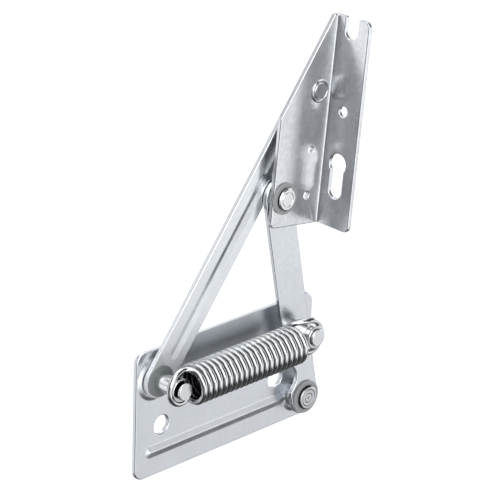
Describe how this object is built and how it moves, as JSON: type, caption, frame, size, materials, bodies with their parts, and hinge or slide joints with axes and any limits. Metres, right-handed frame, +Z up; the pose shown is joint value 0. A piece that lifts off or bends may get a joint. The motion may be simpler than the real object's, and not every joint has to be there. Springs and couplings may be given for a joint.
{
  "type": "corner bench seat hinge",
  "caption": "Spring-held folding hinge for a bench seat: a wall plate carries a short lever and a longer arm that guide a bent seat bracket.",
  "frame": {"origin": "midway between the plate's two screw holes, on the plate's back face", "axes": "+X along the plate from the long arm's pivot to the lever's pivot, +Z up, +Y into the wall that the plate is screwed to"},
  "size_m": [0.1012, 0.0265, 0.1747],
  "materials": {
    "zinc_sheet": "satin zinc plate",
    "zinc_bracket": "satin zinc plate, brushed",
    "washer_steel": "matt zinc plate",
    "rivet_steel": "bright zinc plate",
    "spring_wire": "polished spring wire"
  },
  "bodies": {
    "base": {"base_plate": "zinc_sheet", "pivot_stud": "rivet_steel", "rear_washer_a": "washer_steel", "front_washer_a": "washer_steel", "rivet_b": "rivet_steel", "spacer_b": "rivet_steel", "front_washer_b": "washer_steel"},
    "lever": {"lever_arm": "zinc_sheet", "rivet_d": "rivet_steel", "middle_washer_d": "washer_steel", "front_washer_d": "washer_steel", "spring_stud": "rivet_steel", "sleeve_e": "rivet_steel"},
    "bracket": {"seat_bracket": "zinc_bracket", "rivet_c": "rivet_steel", "spacer_c": "rivet_steel"},
    "long_arm": {"long_arm": "zinc_sheet", "rivet_c_tail": "rivet_steel"},
    "spring_swing": {"sleeve_a": "rivet_steel"},
    "spring": {"spring": "spring_wire"}
  },
  "joints": [
    {"name": "lever_fold", "type": "hinge", "parent": "base", "child": "lever", "pos_m": [0.0452, -0.0065, -0.0099], "axis": [0, -1, 0], "range_deg": [-82.3, 0], "stiffness_Nm_per_rad": 1.04, "springref_deg": 143.24},
    {"name": "bracket_turn", "type": "hinge", "parent": "lever", "child": "bracket", "pos_m": [0.02526, -0.0089, 0.08309], "axis": [0, -1, 0], "range_deg": [0, 177.6]},
    {"name": "long_arm_fold", "type": "hinge", "parent": "base", "child": "long_arm", "pos_m": [-0.0369, -0.0042, 0.0214], "axis": [0, -1, 0], "range_deg": [-44.9, 0]},
    {"name": "spring_tilt", "type": "hinge", "parent": "base", "child": "spring_swing", "pos_m": [-0.0369, -0.0154, 0.0214], "axis": [0, -1, 0], "range_deg": [-11.1, 0]},
    {"name": "spring_stretch", "type": "slide", "parent": "spring_swing", "child": "spring", "axis": [1, 0, 0.0006], "range_m": [0, 0.038], "deforming": ["spring"]}
  ],
  "couplings": [
    {"joint": "bracket_turn", "follows": "lever_fold", "ratio": -2.1557},
    {"joint": "long_arm_fold", "follows": "lever_fold", "ratio": 0.54323},
    {"joint": "spring_tilt", "follows": "lever_fold", "ratio": 0.1329},
    {"joint": "spring_stretch", "follows": "lever_fold", "m_per_rad": -0.026375}
  ]
}
